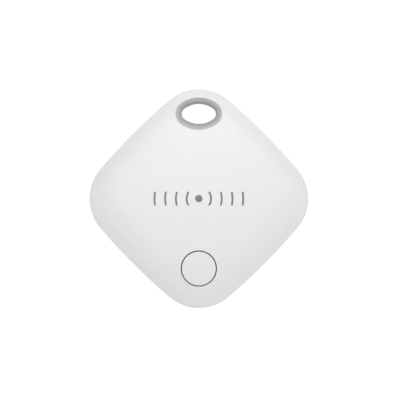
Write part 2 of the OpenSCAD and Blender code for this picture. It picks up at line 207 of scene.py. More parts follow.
# ------------------------------------------------------------- mesh builder
class Build:
    def __init__(self):
        self.v, self.f, self.n = [], [], []

    def ring(self, xy, z):
        z = np.broadcast_to(np.asarray(z, float), (len(xy),))
        i = len(self.v)
        self.v += [(x, y, h) for (x, y), h in zip(xy, z)]
        return np.arange(i, i + len(xy))

    def face(self, idx, nrm):
        p = [np.array(self.v[i]) for i in idx]
        g = np.cross(p[1] - p[0], p[2] - p[0])
        if len(idx) == 4:
            g = g + np.cross(p[2] - p[0], p[3] - p[0])
        if g @ np.sum(nrm, axis=0) < 0:
            idx, nrm = idx[::-1], nrm[::-1]
        self.f.append([int(i) for i in idx])
        self.n.append([tuple(x) for x in nrm])

    def strip(self, a, b, na, nb=None, closed=True):
        nb = na if nb is None else nb
        m = len(a)
        for j in range(m if closed else m - 1):
            k = (j + 1) % m
            self.face([a[j], a[k], b[k], b[j]], [na[j], na[k], nb[k], nb[j]])

    def fan(self, a, point, n, npoint):
        i = len(self.v)
        self.v.append(tuple(point))
        for j in range(len(a)):
            k = (j + 1) % len(a)
            self.face([a[j], a[k], i], [n[j], n[k], npoint])

    def lathe(self, c, prof, n=96):
        """A closed ring of section prof [(r, z)], flat between its points and smooth round."""
        loops = []
        for r, z in prof:
            xy, nn = circle_loop(c, r, n)
            loops.append(self.ring(xy, z))
        for i in range(len(prof)):
            (r0, z0), (r1, z1) = prof[i], prof[(i + 1) % len(prof)]
            t = np.array([r1 - r0, z1 - z0])
            t = t / max(np.linalg.norm(t), 1e-12)
            out = np.array([t[1], -t[0]])
            n3 = np.stack([nn[:, 0] * out[0], nn[:, 1] * out[0], np.full(n, out[1])], 1)
            self.strip(loops[i], loops[(i + 1) % len(prof)], n3)

    def object(self, name, material, body, replaces=()):
        me = bpy.data.meshes.new(name)
        me.from_pydata([(x * MM, y * MM, z * MM) for x, y, z in self.v], [], self.f)
        me.validate(clean_customdata=False)
        me.polygons.foreach_set("use_smooth", [True] * len(me.polygons))
        flat = [n for face in self.n for n in face]
        me.normals_split_custom_set([Vector(n).normalized() for n in flat])
        me.update()
        o = bpy.data.objects.new(name, me)
        bpy.context.scene.collection.objects.link(o)
        me.materials.append(material)
        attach(o, body)
        if replaces:
            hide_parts(*replaces)
        return o


def n3(n2, s, c):
    """3-D normals from plan directions and slope."""
    n2 = np.asarray(n2, float)
    s = np.broadcast_to(np.asarray(s, float), (len(n2),))
    c = np.broadcast_to(np.asarray(c, float), (len(n2),))
    return np.stack([n2[:, 0] * s, n2[:, 1] * s, c], 1)


class Hole:
    """An opening in a skin: its wall's loop and plan normals away from the opening, and how far out a point is."""

    def __init__(self, loop, dist, fillet):
        self.loop, self.dist, self.fillet = loop, dist, fillet


def eye_hole(offset, fillet):
    return Hole(lambda o: (eye_loop(offset + o), EN), lambda P: eye_dist(P) - offset, fillet)


def round_hole(c, r, fillet, n=96):
    return Hole(lambda o: circle_loop(c, r + o, n), lambda P: np.linalg.norm(P - np.array(c), axis=1) - r, fillet)


def slot_hole(length, width, fillet, n=24):
    half = length / 2 - width / 2

    def loop(o):
        pts, nn = [], []
        for s, a0 in ((1, -math.pi / 2), (-1, math.pi / 2)):
            for i in range(n + 1):
                a = a0 + math.pi * i / n
                nn.append((math.cos(a), math.sin(a)))
                pts.append((s * half + (width / 2 + o) * math.cos(a), (width / 2 + o) * math.sin(a)))
            for i in range(1, n):
                x = s * half * (1 - 2 * i / n)
                pts.append((x, s * (width / 2 + o)))
                nn.append((0.0, float(s)))
        return np.array(pts), np.array(nn)

    def dist(P):
        q = np.abs(P) - np.array((half, 0))
        q[:, 0] = np.maximum(q[:, 0], 0)
        return np.linalg.norm(q, axis=1) - width / 2

    return Hole(loop, dist, fillet)


def skin(b, boundary, bn, surface, holes, fill, sign=1.0, beta=7):
    """A single-valued skin inside a boundary loop with filleted openings.
    surface(P) gives heights and unit normals; fill is a list of plan points.
    Returns the boundary ring, and for each opening its lowest ring, its plan loop and plan normals, with the ring of each inner vertex for an inset copy."""
    pts, cons = list(boundary), []
    m = len(boundary)
    cons += [(i, (i + 1) % m) for i in range(m)]
    spans = []
    for h in holes:
        xy, nn = h.loop(h.fillet)
        i = len(pts)
        pts += list(xy)
        cons += [(i + j, i + (j + 1) % len(xy)) for j in range(len(xy))]
        spans.append((i, len(xy)))
    extra = [np.asarray(fill, float)]
    for h in holes:
        for o in (0.06, 0.16, 0.34, 0.62):
            extra.append(h.loop(h.fillet + o)[0][::2 if o > 0.1 else 1])
    E = np.concatenate(extra)
    keep = np.ones(len(E), bool)
    for h in holes:
        keep &= h.dist(E) > h.fillet + 0.04
    mid_xy = np.asarray(boundary).mean(axis=0)
    keep &= inside((E - mid_xy) * 1.006 + mid_xy, boundary)
    E = E[keep]
    # thin out points that are nearly on top of each other or of the loops
    from_loops = np.array(pts)
    cell, seen, good = 0.11, set(), []
    for p in from_loops:
        seen.add((int(p[0] // cell), int(p[1] // cell)))
    for p in E:
        key = (int(p[0] // cell), int(p[1] // cell))
        if key not in seen:
            seen.add(key)
            good.append(p)
    pts += good
    vo, eo, fo, ov, oe, of_ = delaunay_2d_cdt([Vector((float(p[0]), float(p[1]))) for p in pts], cons, [], 0, 1e-7)
    V = np.array([(v[0], v[1]) for v in vo])
    where = {}
    for out_i, origs in enumerate(ov):
        for o in origs:
            where[o] = out_i
    z, N = surface(V)
    base = len(b.v)
    b.v += [(x, y, h) for (x, y), h in zip(V, z)]
    tri = []
    for f in fo:
        c = V[list(f)].mean(axis=0)[None, :]
        if any(h.dist(c)[0] < h.fillet - 1e-6 for h in holes):
            continue
        q = V[list(f)]
        area = abs(np.cross(q[1] - q[0], q[2] - q[0]))
        if area < 1e-9:
            continue
        tri.append(list(f))
        b.face([base + i for i in f], [N[i] for i in f])
    edge_ring = np.array([base + where[i] for i in range(m)])
    rings = []
    for h, (i0, cnt) in zip(holes, spans):
        top = np.array([base + where[i0 + j] for j in range(cnt)])
        prev, pn = top, None
        xy0, nn = h.loop(h.fillet)
        z0, N0 = surface(xy0)
        pn = N0
        for k in range(1, beta + 1):
            a = math.pi / 2 * k / beta
            u = h.fillet * (1 - math.sin(a))
            xy, _ = h.loop(u)
            zz, Ns = surface(xy)
            zz = zz - sign * h.fillet * (1 - math.cos(a))
            nrm = Ns * math.cos(a) + n3(-nn, 1, 0) * math.sin(a)
            nrm /= np.linalg.norm(nrm, axis=1)[:, None]
            r = b.ring(xy, zz)
            b.strip(prev, r, pn, nrm)
            prev, pn = r, nrm
        rings.append((prev, xy, nn, top))
    return edge_ring, rings, (base, V, N, tri)


def inset(b, base, V, N, tri, amount, surface):
    """A copy of a skin's middle moved in along its normals, facing the other way."""
    z, _ = surface(V)
    P = np.concatenate([V, z[:, None]], 1) - amount * N
    i0 = len(b.v)
    b.v += [tuple(p) for p in P]
    for f in tri:
        b.face([i0 + i for i in f], [-N[i] for i in f])
    return i0 - base


def inside(P, loop):
    """Which points lie in a plan polygon."""
    x, y = P[:, 0], P[:, 1]
    hit = np.zeros(len(P), bool)
    for (x0, y0), (x1, y1) in zip(loop, np.roll(loop, -1, 0)):
        if y0 != y1:
            m = (y0 > y) != (y1 > y)
            hit ^= m & (x < (x1 - x0) * (y - y0) / (y1 - y0) + x0)
    return hit


def flat_region(b, outer, holes, z, up_):
    """A flat face with holes between plan loops; returns each loop's ring."""
    loops = [np.asarray(outer)] + [np.asarray(h) for h in holes]
    pts, cons = [], []
    for l in loops:
        i = len(pts)
        pts += list(l)
        cons += [(i + j, i + (j + 1) % len(l)) for j in range(len(l))]
    vo, eo, fo, ov, oe, of_ = delaunay_2d_cdt([Vector((float(p[0]), float(p[1]))) for p in pts], cons, [], 0, 1e-7)
    V = np.array([(v[0], v[1]) for v in vo])
    where = {o: i for i, origs in enumerate(ov) for o in origs}
    base = b.ring(V, z)[0]
    C = np.array([V[list(f)].mean(axis=0) for f in fo])
    ok = inside(C, loops[0])
    for l in loops[1:]:
        ok &= ~inside(C, l)
    nz = (0.0, 0.0, 1.0 if up_ else -1.0)
    for f, k in zip(fo, ok):
        if k:
            b.face([base + i for i in f], [nz] * 3)
    out, i = [], 0
    for l in loops:
        out.append(np.array([base + where[i + j] for j in range(len(l))]))
        i += len(l)
    return out


def front_surface(P):
    d, n = body_dist(P)
    z, s, c = FRONT.at(np.maximum(d, 0))
    return z, n3(n, s, c)


def back_surface(P):
    d, n = body_dist(P)
    z, s, c = BACK.at(np.maximum(d, 0))
    return -z, n3(n, s, -c)


def ring_points(edge, first_d, step=0.42):
    """Plan points on loops parallel to the outline, closer where the edge curves, then a grid over the flat."""
    out, d = [], first_d
    while d < edge.run + 0.3:
        out.append(body_loop(-d)[:: 2 if d > 1.2 else 1])
        _, s, _ = edge.at(np.array([d]))
        d += 0.16 if s[0] > 0.3 else (0.30 if s[0] > 0.12 else step)
    g = np.arange(-20, 20.01, 1.1)
    X, Y = np.meshgrid(g, g)
    X = X + (np.arange(len(g)) % 2)[:, None] * 0.55
    G = np.stack([X.ravel(), Y.ravel()], 1)
    dd, _ = body_dist(G)
    out.append(G[dd > d])
    return np.concatenate(out)


# ---------------------------------------------------------------- materials
def material(name, colour, rough=0.45, metallic=0.0, mottle=0.02, grain=0.0, grain_mm=0.12, ripple=0.0,
             ripple_mm=2.0, rough_var=0.05, scratch=0.0, coat=0.0, coat_rough=0.2, spec=0.5, brushed=None,
             sss=0.0, tint=(1.0, 1.0, 1.0), extra=None, ior=1.5, sheen=0.0):
    mat = bpy.data.materials.new(name)
    mat.use_nodes = True
    nt = mat.node_tree
    nt.nodes.clear()
    N, L = nt.nodes.new, nt.links.new
    out, bsdf = N("ShaderNodeOutputMaterial"), N("ShaderNodeBsdfPrincipled")
    L(bsdf.outputs[0], out.inputs["Surface"])
    tc = N("ShaderNodeTexCoord")
    bsdf.inputs["Metallic"].default_value = metallic
    bsdf.inputs["Specular IOR Level"].default_value = spec
    bsdf.inputs["IOR"].default_value = ior
    bsdf.inputs["Coat Weight"].default_value = coat
    bsdf.inputs["Coat Roughness"].default_value = coat_rough
    bsdf.inputs["Sheen Weight"].default_value = sheen
    if sss:
        bsdf.inputs["Subsurface Weight"].default_value = sss
        bsdf.inputs["Subsurface Radius"].default_value = (0.0012, 0.0011, 0.001)
        bsdf.inputs["Subsurface Scale"].default_value = 1.0

    def noise(mm, detail=3.0, rough_=0.5, vec=None, dist=0.0):
        n = N("ShaderNodeTexNoise")
        n.inputs["Scale"].default_value = 1000.0 / mm
        n.inputs["Detail"].default_value = detail
        n.inputs["Roughness"].default_value = rough_
        n.inputs["Distortion"].default_value = dist
        L(vec or tc.outputs["Object"], n.inputs["Vector"])
        return n.outputs["Fac"]

    def remap(v, a, b, lo=0.3, hi=0.7):
        r = N("ShaderNodeMapRange")
        r.inputs["From Min"].default_value, r.inputs["From Max"].default_value = lo, hi
        r.inputs["To Min"].default_value, r.inputs["To Max"].default_value = a, b
        L(v, r.inputs["Value"])
        return r.outputs["Result"]

    def mix(fac, a, b, kind="MIX"):
        m = N("ShaderNodeMix")
        m.data_type, m.blend_type = "RGBA", kind
        for sock, val in ((m.inputs[0], fac), (m.inputs[6], a), (m.inputs[7], b)):
            if isinstance(val, (int, float)):
                sock.default_value = val
            elif isinstance(val, tuple):
                sock.default_value = (*val[:3], 1.0)
            else:
                L(val, sock)
        return m.outputs[2]

    def maths(op, a, b=0.0):
        m = N("ShaderNodeMath")
        m.operation = op
        for sock, val in ((m.inputs[0], a), (m.inputs[1], b)):
            if isinstance(val, (int, float)):
                sock.default_value = val
            else:
                L(val, sock)
        return m.outputs[0]

    lo = tuple(c * (1 - mottle) for c in colour)
    hi = tuple(min(c * (1 + mottle) * t, 1.0) for c, t in zip(colour, tint))
    col = mix(remap(noise(6.0, 4.0), 0, 1), lo, hi)
    col = mix(remap(noise(0.35, 2.0), 0.0, 0.5), col, mix(0.5, col, tuple(c * (1 - 1.4 * mottle) for c in colour)))
    rgh = remap(noise(1.7, 4.0, 0.6), rough - rough_var, rough + rough_var)
    height = None
    if grain:
        v = N("ShaderNodeTexVoronoi")
        v.inputs["Scale"].default_value = 1000.0 / grain_mm
        L(tc.outputs["Object"], v.inputs["Vector"])
        g = maths("ADD", maths("MULTIPLY", v.outputs["Distance"], 0.5), noise(grain_mm * 0.8, 3.0, 0.6))
        height = maths("MULTIPLY", g, grain)
    if ripple:
        w = maths("MULTIPLY", noise(ripple_mm, 2.0, 0.4), ripple)
        height = w if height is None else maths("ADD", height, w)
    if scratch:
        # fine handling marks: two families of stretched noise, thresholded to hairlines
        total = None
        for ang, mmx, mmy in ((0.5, 0.05, 5.0), (-1.1, 0.045, 4.0), (1.9, 0.06, 6.0)):
            mp = N("ShaderNodeMapping")
            mp.inputs["Rotation"].default_value = (0, 0, ang)
            mp.inputs["Scale"].default_value = (1.0 / mmx, 1.0 / mmy, 1.0 / 3.0)
            L(tc.outputs["Object"], mp.inputs["Vector"])
            n = N("ShaderNodeTexNoise")
            n.inputs["Scale"].default_value = 1000.0 * 0.12
            n.inputs["Detail"].default_value = 1.0
            L(mp.outputs[0], n.inputs["Vector"])
            s = remap(n.outputs["Fac"], 0.0, 1.0, 0.70, 0.78)
            total = s if total is None else maths("MAXIMUM", total, s)
        area = remap(noise(11.0, 2.0), 0.0, 1.0, 0.45, 0.65)
        marks = maths("MULTIPLY", total, area)
        rgh = maths("ADD", rgh, maths("MULTIPLY", marks, scratch * 0.25))
        h = maths("MULTIPLY", marks, -scratch * 0.3)
        height = h if height is None else maths("ADD", height, h)
    if brushed:
        mp = N("ShaderNodeMapping")
        mp.inputs["Scale"].default_value = brushed
        L(tc.outputs["Object"], mp.inputs["Vector"])
        n = N("ShaderNodeTexNoise")
        n.inputs["Scale"].default_value = 9000.0
        n.inputs["Detail"].default_value = 4.0
        L(mp.outputs[0], n.inputs["Vector"])
        rgh = maths("ADD", rgh, remap(n.outputs["Fac"], -0.07, 0.09))
        h = maths("MULTIPLY", n.outputs["Fac"], 0.25)
        height = h if height is None else maths("ADD", height, h)
        col = mix(remap(n.outputs["Fac"], 0.0, 0.35), col, tuple(c * 0.82 for c in colour))
    if extra:
        col, rgh, height = extra(N, L, tc, col, rgh, height, noise, remap, mix, maths)
    L(col, bsdf.inputs["Base Color"])
    rc = N("ShaderNodeClamp")
    rc.inputs["Min"].default_value, rc.inputs["Max"].default_value = 0.05, 0.95
    L(rgh if not isinstance(rgh, float) else maths("ADD", rgh, 0.0), rc.inputs["Value"])
    L(rc.outputs[0], bsdf.inputs["Roughness"])
    if height is not None:
        bp = N("ShaderNodeBump")
        bp.inputs["Strength"].default_value = 1.0
        bp.inputs["Distance"].default_value = 0.00001
        L(height, bp.inputs["Height"])
        L(bp.outputs[0], bsdf.inputs["Normal"])
    return mat


def board_pattern(N, L, tc, col, rgh, height, noise, remap, mix, maths):
    """Solder mask over copper: straight tracks at 45 degrees, pads and vias."""
    lines = None
    for ang, pitch in ((math.radians(45), 1.1), (math.radians(-45), 1.3), (0.0, 2.3)):
        mp = N("ShaderNodeMapping")
        mp.inputs["Rotation"].default_value = (0, 0, ang)
        L(tc.outputs["Object"], mp.inputs["Vector"])
        w = N("ShaderNodeTexWave")
        w.inputs["Scale"].default_value = 1000.0 / pitch / 2
        w.inputs["Distortion"].default_value = 0.0
        L(mp.outputs[0], w.inputs["Vector"])
        s = remap(w.outputs["Fac"], 0.0, 1.0, 0.90, 0.93)
        gate = remap(noise(3.5, 1.0, 0.5, mp.outputs[0]), 0.0, 1.0, 0.52, 0.53)
        s = maths("MULTIPLY", s, gate)
        lines = s if lines is None else maths("MAXIMUM", lines, s)
    v = N("ShaderNodeTexVoronoi")
    v.inputs["Scale"].default_value = 1000.0 / 2.1
    L(tc.outputs["Object"], v.inputs["Vector"])
    vias = remap(v.outputs["Distance"], 1.0, 0.0, 0.10, 0.12)
    col = mix(maths("MULTIPLY", lines, 0.45), col, (0.10, 0.42, 0.24))
    col = mix(vias, col, (0.80, 0.66, 0.36))
    rgh = maths("SUBTRACT", rgh, maths("MULTIPLY", vias, 0.08))
    h = maths("ADD", maths("MULTIPLY", lines, 1.5), maths("MULTIPLY", vias, 1.0))
    return col, rgh, h if height is None else maths("ADD", height, h)


def moulded_mark(N, L, tc, col, rgh, height, noise, remap, mix, maths):
    """Fine resin filler specks, as moulded chip packages have."""
    sp = remap(noise(0.09, 1.0), 0.0, 1.0, 0.66, 0.74)
    col = mix(maths("MULTIPLY", sp, 0.35), col, (0.22, 0.22, 0.23))
    return col, rgh, height


def satin_and_painted_shade_wall(N, L, tc, col, rgh, height, noise, remap, mix, maths):
    """Painted shade and mould texture: the upright wall is darkened in colour as painted shade, and is eroded a little
    coarser, so duller, than the faces.
    """
    sep = N("ShaderNodeSeparateXYZ")
    L(tc.outputs["Normal"], sep.inputs[0])
    up = maths("ABSOLUTE", sep.outputs["Z"])
    wall = remap(up, 1.0, 0.0, 0.05, 0.62)
    # painted shade: colour of steep wall surfaces multiplied by 0.90
    col = mix(wall, col, mix(1.0, col, (0.90, 0.90, 0.90), "MULTIPLY"))
    rgh = maths("ADD", rgh, maths("MULTIPLY", wall, 0.10))
    fine = maths("MULTIPLY", maths("MULTIPLY", noise(0.09, 2.0), wall), 0.5)
    return col, rgh, fine if height is None else maths("ADD", height, fine)


def eyelet_painted_shade(N, L, tc, col, rgh, height, noise, remap, mix, maths):
    """Painted shade: the grey insert is a little deeper in colour towards the top of the tag, standing in for shade on
    the upper side of its opening.
    """
    sep = N("ShaderNodeSeparateXYZ")
    L(tc.outputs["Object"], sep.inputs[0])
    t = remap(sep.outputs["Y"], 0.0, 1.0, (EYE_Y - 3.3) * MM, (EYE_Y + 3.3) * MM)
    t = maths("POWER", t, 1.7)
    # painted shade: colour times 0.97 at the bottom of the opening, down to times 0.76 at the top
    col = mix(t, mix(1.0, col, (0.97, 0.97, 0.97), "MULTIPLY"), mix(1.0, col, (0.76, 0.76, 0.76), "MULTIPLY"))
    return col, rgh, height


WHITE = (0.80, 0.80, 0.80)
M = {
    "shell_white": material("abs_white", WHITE, rough=0.42, mottle=0.009, grain=0.5, grain_mm=0.16, ripple=0.9,
                            ripple_mm=3.0, rough_var=0.04, scratch=0.3, spec=0.45, extra=satin_and_painted_shade_wall),
    "button_white": material("abs_white_button", (0.795, 0.795, 0.795), rough=0.40, mottle=0.009, grain=0.4,
                             grain_mm=0.14, ripple=0.6, ripple_mm=2.2, rough_var=0.035, scratch=0.35, spec=0.45),
    "rim_grey": material("abs_grey_rim", (0.50, 0.50, 0.50), rough=0.40, mottle=0.02, grain=0.3, grain_mm=0.12,
                         ripple=0.6, ripple_mm=1.5, rough_var=0.05, scratch=0.5, spec=0.45, extra=eyelet_painted_shade),
    "ink": material("pad_print_ink", (0.20, 0.20, 0.205), rough=0.55, mottle=0.05, grain=0.5, grain_mm=0.07,
                    rough_var=0.05),
    "silicone": material("silicone_dark", (0.035, 0.035, 0.037), rough=0.6, mottle=0.08, grain=0.4, grain_mm=0.1,
                         rough_var=0.06),
    "board": material("solder_mask", (0.02, 0.16, 0.075), rough=0.30, mottle=0.04, rough_var=0.04, coat=0.3,
                      ripple=0.3, extra=board_pattern),
    "black_resin": material("chip_resin", (0.025, 0.025, 0.027), rough=0.62, mottle=0.08, grain=0.6, grain_mm=0.06,
                            extra=moulded_mark),
    "steel": material("spring_steel", (0.60, 0.59, 0.57), rough=0.26, metallic=1.0, mottle=0.03,
                      brushed=(1.0, 0.05, 1.0), rough_var=0.04),
    "brass": material("brass_disc", (0.78, 0.58, 0.26), rough=0.28, metallic=1.0, mottle=0.05,
                      brushed=(0.06, 1.0, 1.0), rough_var=0.05),
    "gold_spring": material("gold_plate", (0.90, 0.68, 0.32), rough=0.22, metallic=1.0, mottle=0.03,
                            brushed=(1.0, 0.1, 1.0), rough_var=0.03),
    "ceramic": material("fired_ceramic", (0.72, 0.70, 0.63), rough=0.5, mottle=0.05, grain=0.7, grain_mm=0.05,
                        rough_var=0.06),
    "capacitor": material("capacitor_body", (0.36, 0.26, 0.16), rough=0.35, mottle=0.08, grain=0.5, grain_mm=0.05,
                          rough_var=0.05),
    "ferrite": material("ferrite", (0.09, 0.09, 0.095), rough=0.55, mottle=0.1, grain=0.9, grain_mm=0.06,
                        rough_var=0.06),
    "black_plastic": material("nylon_black", (0.03, 0.03, 0.032), rough=0.5, mottle=0.08, grain=0.5, grain_mm=0.12,
                              rough_var=0.06),
    "natural_plastic": material("acetal_natural", (0.66, 0.60, 0.46), rough=0.4, mottle=0.03, grain=0.3,
                                grain_mm=0.1, rough_var=0.04, sss=0.1),
    "adhesive": material("adhesive_tape", (0.70, 0.66, 0.50), rough=0.45, mottle=0.06, grain=0.6, grain_mm=0.3,
                         rough_var=0.08),
    "electrode": material("pressed_powder", (0.05, 0.05, 0.055), rough=0.8, mottle=0.15, grain=1.2, grain_mm=0.05,
                          rough_var=0.05),
    "foam": material("closed_cell_foam", (0.03, 0.03, 0.033), rough=0.85, mottle=0.15, grain=3.0, grain_mm=0.18,
                     rough_var=0.05, sheen=0.2),
    "o_ring": material("nitrile_ring", (0.02, 0.02, 0.02), rough=0.5, mottle=0.1, grain=0.3, grain_mm=0.08,
                       rough_var=0.06),
}
slot_of = {s["node"]: s["material_slot"] for s in RECORD["subparts"]}
for name, o in NODES.items():
    o.data.materials.clear()
    o.data.materials.append(M[slot_of[name]])

# ------------------------------------------------------------ front cover
b = Build()
front_holes = [eye_hole(RIM + 0.015, 0.05), round_hole((0, BUT_Y), 3.71, 0.04)]
start_d = 0.30
fill = ring_points(FRONT, start_d + 0.16)
edge, hole_rings, mid = skin(b, body_loop(-start_d), BN, front_surface, front_holes, fill)
prev, pn = edge, n3(BN, 0.8, 0.6)
outer = FRONT.rings(0.8, 1.0, 12)[1:]
for d, z, s, c in outer:
    r = b.ring(body_loop(-d), z)
    nn = n3(BN, s, c)
    b.strip(prev, r, pn, nn)
    prev, pn = r, nn
for z in (4.2, 3.6, JOINT + 0.13):
    r = b.ring(body_loop(0), z)
    b.strip(prev, r, n3(BN, 1, 0))
    prev = r
pn = n3(BN, 1, 0)
for k in range(1, 6):
    a = math.pi / 2 * k / 5
    r = b.ring(body_loop(-0.12 * (1 - math.cos(a))), JOINT + 0.13 - 0.12 * math.sin(a))
    nn = n3(BN, math.cos(a), -math.sin(a))
    b.strip(prev, r, pn, nn)
    prev, pn = r, nn
down, up, inw = n3(BN, 0, -1), n3(BN, 0, 1), n3(-BN, 1, 0)
r = b.ring(body_loop(-0.5), JOINT + 0.01)
b.strip(prev, r, down)
r2 = b.ring(body_loop(-0.5), JOINT + 0.8)
b.strip(r, r2, inw)
r = b.ring(body_loop(-WALL), JOINT + 0.8)
b.strip(r2, r, down)
prev = r
for d, z, s, c in reversed([(start_d, FRONT.at(np.array([start_d]))[0][0], 0.8, 0.6)] + outer):
    if s < 0.81:
        break
    rr = b.ring(body_loop(-(d + WALL * s)), z - WALL * c)
    b.strip(prev, rr, inw if s > 0.999 else n3(-BN, s, -c))
    prev = rr
base, V, N_, tri = mid
shift = inset(b, base, V, N_, tri, WALL, front_surface)
b.strip(prev, edge + shift, n3(-BN, 0.8, -0.6))
for ring, xy, nn, top in hole_rings:
    b.strip(ring, top + shift, n3(-nn, 1, 0))
# rib that carries the buzzer
b.lathe((0, 3.0), [(6.6, 7.2), (6.6, 6.7), (7.4, 6.7), (7.4, 7.2)])
front_cover = b.object("front_cover", M["shell_white"], "housing", ("front_shell",))

# ------------------------------------------------------------- back cover
b = Build()
dial = [round_hole((13.75 * math.cos(math.radians(a)), 13.75 * math.sin(math.radians(a))), 0.3, 0.02, 32) for a in (90, 60)]
back_holes = [eye_hole(RIM + 0.015, 0.03), round_hole((0, 0), 13.1, 0.16, 160)] + dial
bd = BACK.rings(0.28, 0.28, 1)[0][0]
fill = ring_points(BACK, bd + 0.16)
edge, hole_rings, mid = skin(b, body_loop(-bd), BN, back_surface, back_holes, fill, sign=-1.0)
prev, pn = edge, n3(BN, 0.28, -0.96)
for d, z, s, c in BACK.rings(0.28, 1.0, 18)[1:]:
    r = b.ring(body_loop(-d), -z)
    nn = n3(BN, s, -c)
    b.strip(prev, r, pn, nn)
    prev, pn = r, nn
for z in (2.45, JOINT - 0.13):
    r = b.ring(body_loop(0), z)
    b.strip(prev, r, n3(BN, 1, 0))
    prev = r
pn = n3(BN, 1, 0)
for k in range(1, 6):
    a = math.pi / 2 * k / 5
    r = b.ring(body_loop(-0.12 * (1 - math.cos(a))), JOINT - 0.13 + 0.12 * math.sin(a))
    nn = n3(BN, math.cos(a), math.sin(a))
    b.strip(prev, r, pn, nn)
    prev, pn = r, nn
r = b.ring(body_loop(-0.55), JOINT - 0.01)
b.strip(prev, r, up)
r2 = b.ring(body_loop(-0.55), JOINT + 0.75)
b.strip(r, r2, n3(BN, 1, 0))
r = b.ring(body_loop(-WALL), JOINT + 0.75)
b.strip(r2, r, up)
prev = r
for d, z, s, c in reversed(BACK.rings(0.28, 1.0, 10)[1:]):
    rr = b.ring(body_loop(-(d + WALL * s)), -z + WALL * c)
    b.strip(prev, rr, inw if s > 0.999 else n3(-BN, s, c))
    prev = rr
zc = 1.4
floor_pts = body_loop(-(bd + WALL * 0.28))
dirs = floor_pts / np.linalg.norm(floor_pts, axis=1)[:, None]
ring, eye_xy, eye_nn, top = hole_rings[0]
# floor inside, between the wall, the door seat's collar and the lanyard hole
fl, co_in, eye_in = flat_region(b, floor_pts, [dirs * 13.95, eye_xy], zc, True)
b.strip(prev, fl, n3(-BN, 0.28, 0.96))
b.strip(ring, eye_in, n3(-eye_nn, 1, 0))
prev = co_in
top_r = b.ring(dirs * 13.95, 2.5)
b.strip(prev, top_r, n3(dirs, 1, 0))
in_r = b.ring(dirs * 11.95, 2.5)
b.strip(top_r, in_r, up)
# groove that the door's lugs turn in
low_r = b.ring(dirs * 11.95, 1.7)
b.strip(in_r, low_r, n3(-dirs, 1, 0))
in_r = b.ring(dirs * 11.15, 1.7)
b.strip(low_r, in_r, up)
seat = hole_rings[1]
wall_top, ledge_in = flat_region(b, seat[1], [dirs * 11.15], 1.1, False)
b.strip(seat[0], wall_top, n3(-seat[2], 1, 0))
b.strip(in_r, ledge_in, n3(-dirs, 1, 0))
for ring, xy, nn, top in hole_rings[2:]:
    low = b.ring(xy, 0.15)
    b.strip(ring, low, n3(-nn, 1, 0))
    c = xy.mean(axis=0)
    b.fan(low, (c[0], c[1], 0.15), n3(nn, 0, -1), (0, 0, -1))
for x, y in ((-16.2, 0), (16.2, 0), (0, -18.6)):
    b.lathe((x, y), [(0.82, 1.0), (1.7, 1.0), (1.7, 4.2), (0.82, 4.2)], 48)
back_cover = b.object("back_cover", M["shell_white"], "housing", ("back_shell",))

# --------------------------------------------------------- lanyard eyelet
b = Build()
LIP_EDGE = Edge([(0.5, 0.6), (2.1, 1.0)], 0.0)


def lip_rings(surface, sign):
    """Rings from the outer wall over the lip's two arcs to the neck of the opening."""
    out = []
    xy = eye_loop(RIM)
    z, N0 = surface(xy)
    out.append((xy, z - sign * 0.08, n3(EN, 1, 0)))
    for k in range(0, 5):
        a = math.pi / 2 * (1 - k / 4)
        xy = eye_loop(RIM - 0.03 + 0.03 * math.sin(a))
        z, N0 = surface(xy)
        nn = N0 * math.cos(a) + n3(EN, 1, 0) * math.sin(a)
        out.append((xy, z - sign * (0.005 + 0.03 * (1 - math.cos(a))), nn / np.linalg.norm(nn, axis=1)[:, None]))
    for d, drop, s, c in LIP_EDGE.rings(0.0, 1.0, 22):
        xy = eye_loop(max(d, 0.0))
        z, N0 = surface(xy)
        nn = N0 * c + n3(-EN, 1, 0) * s
        out.append((xy, z + sign * (drop - 0.005), nn / np.linalg.norm(nn, axis=1)[:, None]))
    return out


tops = lip_rings(front_surface, 1.0)
bots = lip_rings(back_surface, -1.0)
rings = [b.ring(xy, z) for xy, z, nn in tops]
for i in range(len(rings) - 1):
    b.strip(rings[i], rings[i + 1], tops[i][2], tops[i + 1][2])
ringb = [b.ring(xy, z) for xy, z, nn in bots]
for i in range(len(ringb) - 1):
    b.strip(ringb[i], ringb[i + 1], bots[i][2], bots[i + 1][2])
b.strip(rings[-1], ringb[-1], n3(-EN, 1, 0))
ou = n3(EN, 1, 0)
r1 = b.ring(eye_loop(RIM), 3.28)
b.strip(rings[0], r1, ou)
r2 = b.ring(eye_loop(RIM + 0.6), 3.28)
b.strip(r1, r2, n3(EN, 0, 1))
r3 = b.ring(eye_loop(RIM + 0.6), 2.72)
b.strip(r2, r3, ou)
r4 = b.ring(eye_loop(RIM), 2.72)
b.strip(r3, r4, n3(EN, 0, -1))
b.strip(r4, ringb[0], ou)
eyelet = b.object("eyelet_bush", M["rim_grey"], "housing", ("lanyard_eyelet",))

# ------------------------------------------------------------- button cap
b = Build()
R0, F = 3.49, 0.04
xy0, cn = circle_loop((0, BUT_Y), R0 - F, 96)
grid = []
for rr_ in np.arange(0.3, R0 - F - 0.1, 0.3):
    grid.append(circle_loop((0, BUT_Y), rr_, max(8, int(rr_ * 24)))[0])
edge, _, _ = skin(b, xy0, cn, front_surface, [], np.concatenate(grid))
prev = edge
pn = front_surface(xy0)[1]
for k in range(1, 7):
    a = math.pi / 2 * k / 6
    xy, _ = circle_loop((0, BUT_Y), R0 - F + F * math.sin(a), 96)
    z, N0 = front_surface(xy)
    nn = N0 * math.cos(a) + n3(cn, 1, 0) * math.sin(a)
    nn /= np.linalg.norm(nn, axis=1)[:, None]
    r = b.ring(xy, z - F * (1 - math.cos(a)))
    b.strip(prev, r, pn, nn)
    prev, pn = r, nn
xy, _ = circle_loop((0, BUT_Y), R0, 96)
r = b.ring(xy, 7.0)
b.strip(prev, r, n3(cn, 1, 0))
xy, _ = circle_loop((0, BUT_Y), 1.6, 96)
